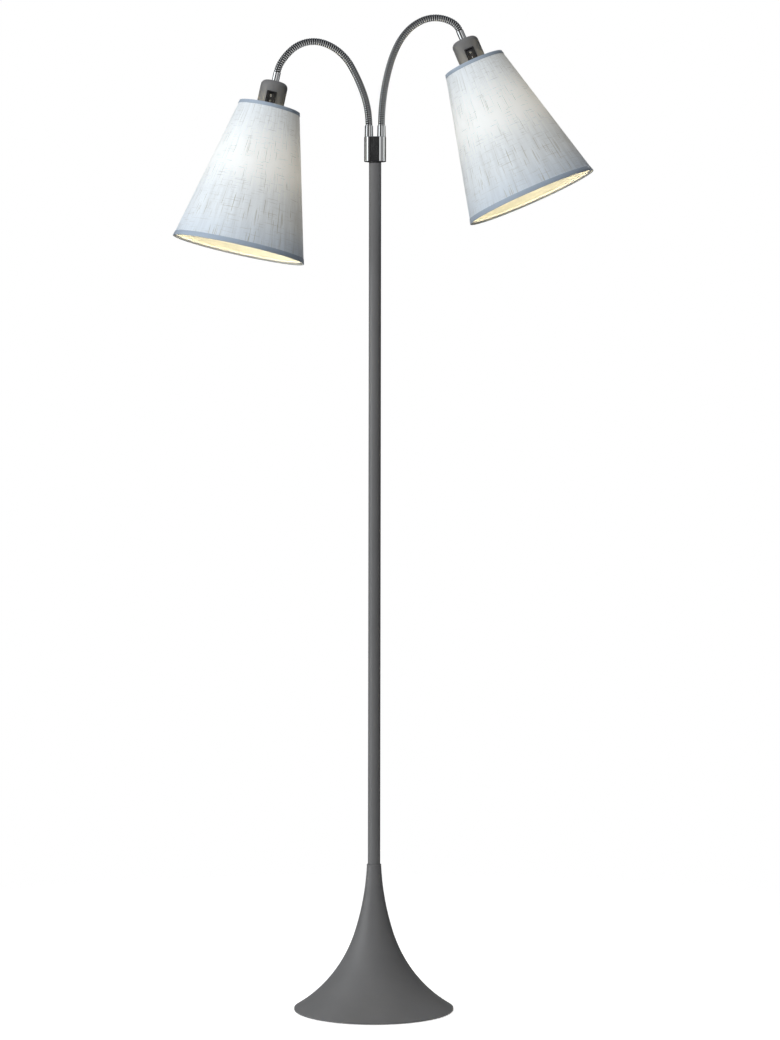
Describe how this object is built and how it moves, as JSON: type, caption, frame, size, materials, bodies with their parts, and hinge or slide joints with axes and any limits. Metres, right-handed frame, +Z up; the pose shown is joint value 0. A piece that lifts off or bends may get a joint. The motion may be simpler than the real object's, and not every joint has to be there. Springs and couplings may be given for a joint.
{
  "type": "gooseneck floor lamp",
  "caption": "Free-standing reading lamp: trumpet base, slim pole, twin block with gooseneck arms, each with a rocker-switched lampholder and a conical fabric shade that can be aimed.",
  "frame": {"origin": "on the floor, under the axis of the pole", "axes": "+Z up the pole, +X to the right of someone who faces the switches, +Y to the back where the cord inlet is"},
  "size_m": [0.6332, 0.24, 1.499],
  "materials": {
    "painted_grey": "satin mid grey powder coat",
    "cast_weight": "raw casting, dull",
    "zinc_steel": "zinc plated",
    "felt": "pressed felt",
    "black_plastic": "fine matt moulding",
    "rocker_plastic": "semi-gloss moulding",
    "terminal_plastic": "natural nylon",
    "lead_sheath": "smooth flexible sheath",
    "chrome": "bright chrome plate",
    "holder_plastic": "moulded phenolic",
    "contact_brass": "plain brass",
    "wire_white": "white epoxy coated wire",
    "shade_fabric": "pale ice-blue slub linen laminated on a cream liner",
    "shade_trim": "blue-grey woven tape",
    "bulb_glass": "opal",
    "bulb_cap": "rolled"
  },
  "bodies": {
    "root": {"base_shell": "painted_grey", "ballast_weight": "cast_weight", "base_cover_plate": "zinc_steel", "base_felt_pad": "felt", "cable_grommet": "black_plastic", "cover_screws": "zinc_steel", "terminal_block": "terminal_plastic", "pole_tube": "painted_grey", "pole_foot_plug": "zinc_steel", "base_nipple": "zinc_steel", "clamp_nuts": "zinc_steel", "pole_head_plug": "zinc_steel", "pole_top_ring": "black_plastic", "pole_leads": "lead_sheath", "arm_block": "chrome", "block_base_plate": "chrome", "block_grub_screws": "zinc_steel", "neck_ferrules": "chrome", "left_neck_1": "chrome", "right_neck_1": "chrome", "left_lead": "lead_sheath", "right_lead": "lead_sheath"},
    "left_neck_2": {"left_neck_2": "chrome"},
    "left_neck_3": {"left_neck_3": "chrome"},
    "left_neck_4": {"left_neck_4": "chrome"},
    "left_neck_5": {"left_neck_5": "chrome"},
    "left_neck_6": {"left_neck_6": "chrome"},
    "left_neck_7": {"left_neck_7": "chrome"},
    "left_neck_8": {"left_neck_8": "chrome"},
    "left_head": {"left_end_ferrule": "chrome", "left_holder_cap": "painted_grey", "left_switch_body": "black_plastic", "left_lampholder": "holder_plastic", "left_contact_shell": "contact_brass", "left_bulb_base": "bulb_cap", "left_bulb_globe": "bulb_glass", "left_shade_ring": "holder_plastic", "left_shade_frame": "wire_white", "left_shade_cone": "shade_fabric", "left_shade_trims": "shade_trim"},
    "left_rocker": {"left_switch_rocker": "rocker_plastic"},
    "right_neck_2": {"right_neck_2": "chrome"},
    "right_neck_3": {"right_neck_3": "chrome"},
    "right_neck_4": {"right_neck_4": "chrome"},
    "right_neck_5": {"right_neck_5": "chrome"},
    "right_neck_6": {"right_neck_6": "chrome"},
    "right_neck_7": {"right_neck_7": "chrome"},
    "right_neck_8": {"right_neck_8": "chrome"},
    "right_head": {"right_end_ferrule": "chrome", "right_holder_cap": "painted_grey", "right_switch_body": "black_plastic", "right_lampholder": "holder_plastic", "right_contact_shell": "contact_brass", "right_bulb_base": "bulb_cap", "right_bulb_globe": "bulb_glass", "right_shade_ring": "holder_plastic", "right_shade_frame": "wire_white", "right_shade_cone": "shade_fabric", "right_shade_trims": "shade_trim"},
    "right_rocker": {"right_switch_rocker": "rocker_plastic"}
  },
  "joints": [
    {"name": "left_curl_1", "type": "hinge", "parent": "root", "child": "left_neck_2", "pos_m": [-0.01753, 0, 1.37906], "axis": [0, -1, 0], "range_deg": [-7.15, 1.25], "deforming": ["left_lead"]},
    {"name": "left_curl_2", "type": "hinge", "parent": "left_neck_2", "child": "left_neck_3", "pos_m": [-0.03651, 0, 1.42098], "axis": [0, -1, 0], "range_deg": [-8.58, 1.5], "deforming": ["left_lead"]},
    {"name": "left_curl_3", "type": "hinge", "parent": "left_neck_3", "child": "left_neck_4", "pos_m": [-0.05727, 0, 1.44461], "axis": [0, -1, 0], "range_deg": [-11.44, 2], "deforming": ["left_lead"]},
    {"name": "left_curl_4", "type": "hinge", "parent": "left_neck_4", "child": "left_neck_5", "pos_m": [-0.07758, 0, 1.45528], "axis": [0, -1, 0], "range_deg": [-14.3, 2.5], "deforming": ["left_lead"]},
    {"name": "left_curl_5", "type": "hinge", "parent": "left_neck_5", "child": "left_neck_6", "pos_m": [-0.10316, 0, 1.45669], "axis": [0, -1, 0], "range_deg": [-14.3, 2.5], "deforming": ["left_lead"]},
    {"name": "left_curl_6", "type": "hinge", "parent": "left_neck_6", "child": "left_neck_7", "pos_m": [-0.12602, 0, 1.44509], "axis": [0, -1, 0], "range_deg": [-14.3, 2.5], "deforming": ["left_lead"]},
    {"name": "left_nod_1", "type": "hinge", "parent": "left_neck_7", "child": "left_neck_8", "pos_m": [-0.14097, 0, 1.42765], "axis": [-0.8396, 0, 0.5432], "range_deg": [-12, 12], "deforming": ["left_lead"]},
    {"name": "left_nod_2", "type": "hinge", "parent": "left_neck_8", "child": "left_head", "pos_m": [-0.14756, 0, 1.41178], "axis": [-0.9774, 0, 0.2113], "range_deg": [-12, 12], "deforming": ["left_lead"]},
    {"name": "left_switch", "type": "hinge", "parent": "left_head", "child": "left_rocker", "pos_m": [-0.15664, -0.0188, 1.36975], "axis": [-0.9774, 0, 0.2113], "range_deg": [0, 20]},
    {"name": "right_curl_1", "type": "hinge", "parent": "root", "child": "right_neck_2", "pos_m": [0.01295, 0, 1.37979], "axis": [0, 1, 0], "range_deg": [-3.06, 0.96], "deforming": ["right_lead"]},
    {"name": "right_curl_2", "type": "hinge", "parent": "right_neck_2", "child": "right_neck_3", "pos_m": [0.02279, 0, 1.42477], "axis": [0, 1, 0], "range_deg": [-4.59, 1.44], "deforming": ["right_lead"]},
    {"name": "right_curl_3", "type": "hinge", "parent": "right_neck_3", "child": "right_neck_4", "pos_m": [0.03459, 0, 1.45412], "axis": [0, 1, 0], "range_deg": [-7.65, 2.4], "deforming": ["right_lead"]},
    {"name": "right_curl_4", "type": "hinge", "parent": "right_neck_4", "child": "right_neck_5", "pos_m": [0.04772, 0, 1.47297], "axis": [0, 1, 0], "range_deg": [-12.24, 3.84], "deforming": ["right_lead"]},
    {"name": "right_curl_5", "type": "hinge", "parent": "right_neck_5", "child": "right_neck_6", "pos_m": [0.06832, 0, 1.48846], "axis": [0, 1, 0], "range_deg": [-15.3, 4.8], "deforming": ["right_lead"]},
    {"name": "right_curl_6", "type": "hinge", "parent": "right_neck_6", "child": "right_neck_7", "pos_m": [0.09343, 0, 1.49364], "axis": [0, 1, 0], "range_deg": [-15.3, 4.8], "deforming": ["right_lead"]},
    {"name": "right_nod_1", "type": "hinge", "parent": "right_neck_7", "child": "right_neck_8", "pos_m": [0.11537, 0, 1.48731], "axis": [-0.4879, 0, -0.8729], "range_deg": [-12, 12], "deforming": ["right_lead"]},
    {"name": "right_nod_2", "type": "hinge", "parent": "right_neck_8", "child": "right_head", "pos_m": [0.12676, 0, 1.47472], "axis": [-0.9171, 0, -0.3987], "range_deg": [-12, 12], "deforming": ["right_lead"]},
    {"name": "right_switch", "type": "hinge", "parent": "right_head", "child": "right_rocker", "pos_m": [0.14391, -0.0188, 1.43529], "axis": [-0.9171, 0, -0.3987], "range_deg": [0, 20]}
  ],
  "couplings": [
    {"joint": "left_curl_2", "follows": "left_curl_1", "ratio": 1.2},
    {"joint": "left_curl_4", "follows": "left_curl_3", "ratio": 1.25},
    {"joint": "left_curl_6", "follows": "left_curl_5", "ratio": 1},
    {"joint": "left_nod_1", "follows": "left_nod_2", "ratio": 1},
    {"joint": "right_curl_2", "follows": "right_curl_1", "ratio": 1.5},
    {"joint": "right_curl_4", "follows": "right_curl_3", "ratio": 1.6},
    {"joint": "right_curl_6", "follows": "right_curl_5", "ratio": 1},
    {"joint": "right_nod_1", "follows": "right_nod_2", "ratio": 1}
  ]
}
